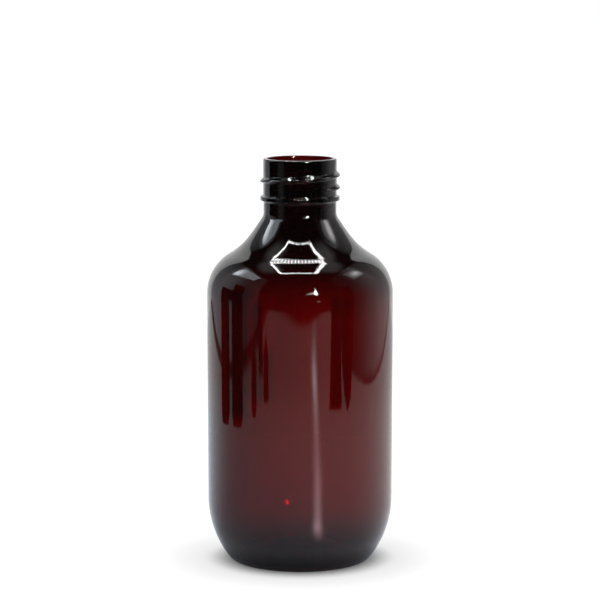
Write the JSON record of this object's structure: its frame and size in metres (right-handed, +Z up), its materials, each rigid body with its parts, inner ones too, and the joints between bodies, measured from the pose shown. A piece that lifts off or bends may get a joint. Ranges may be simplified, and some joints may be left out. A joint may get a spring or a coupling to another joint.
{
  "type": "plastic bottle",
  "caption": "Round transparent amber plastic bottle with a rounded shoulder and heel, a short neck with a screw thread and transfer ring, and an open mouth.",
  "frame": {"origin": "centre of the standing ring's plane, on the bottle's axis", "axes": "+Z up along the bottle's axis, towards the mouth; -Y is the side that the picture shows"},
  "size_m": [0.0632, 0.0632, 0.1376],
  "materials": {
    "amber_plastic": "polished transparent dark amber, as moulded"
  },
  "bodies": {
    "root": {"bottle": "amber_plastic"}
  },
  "joints": []
}
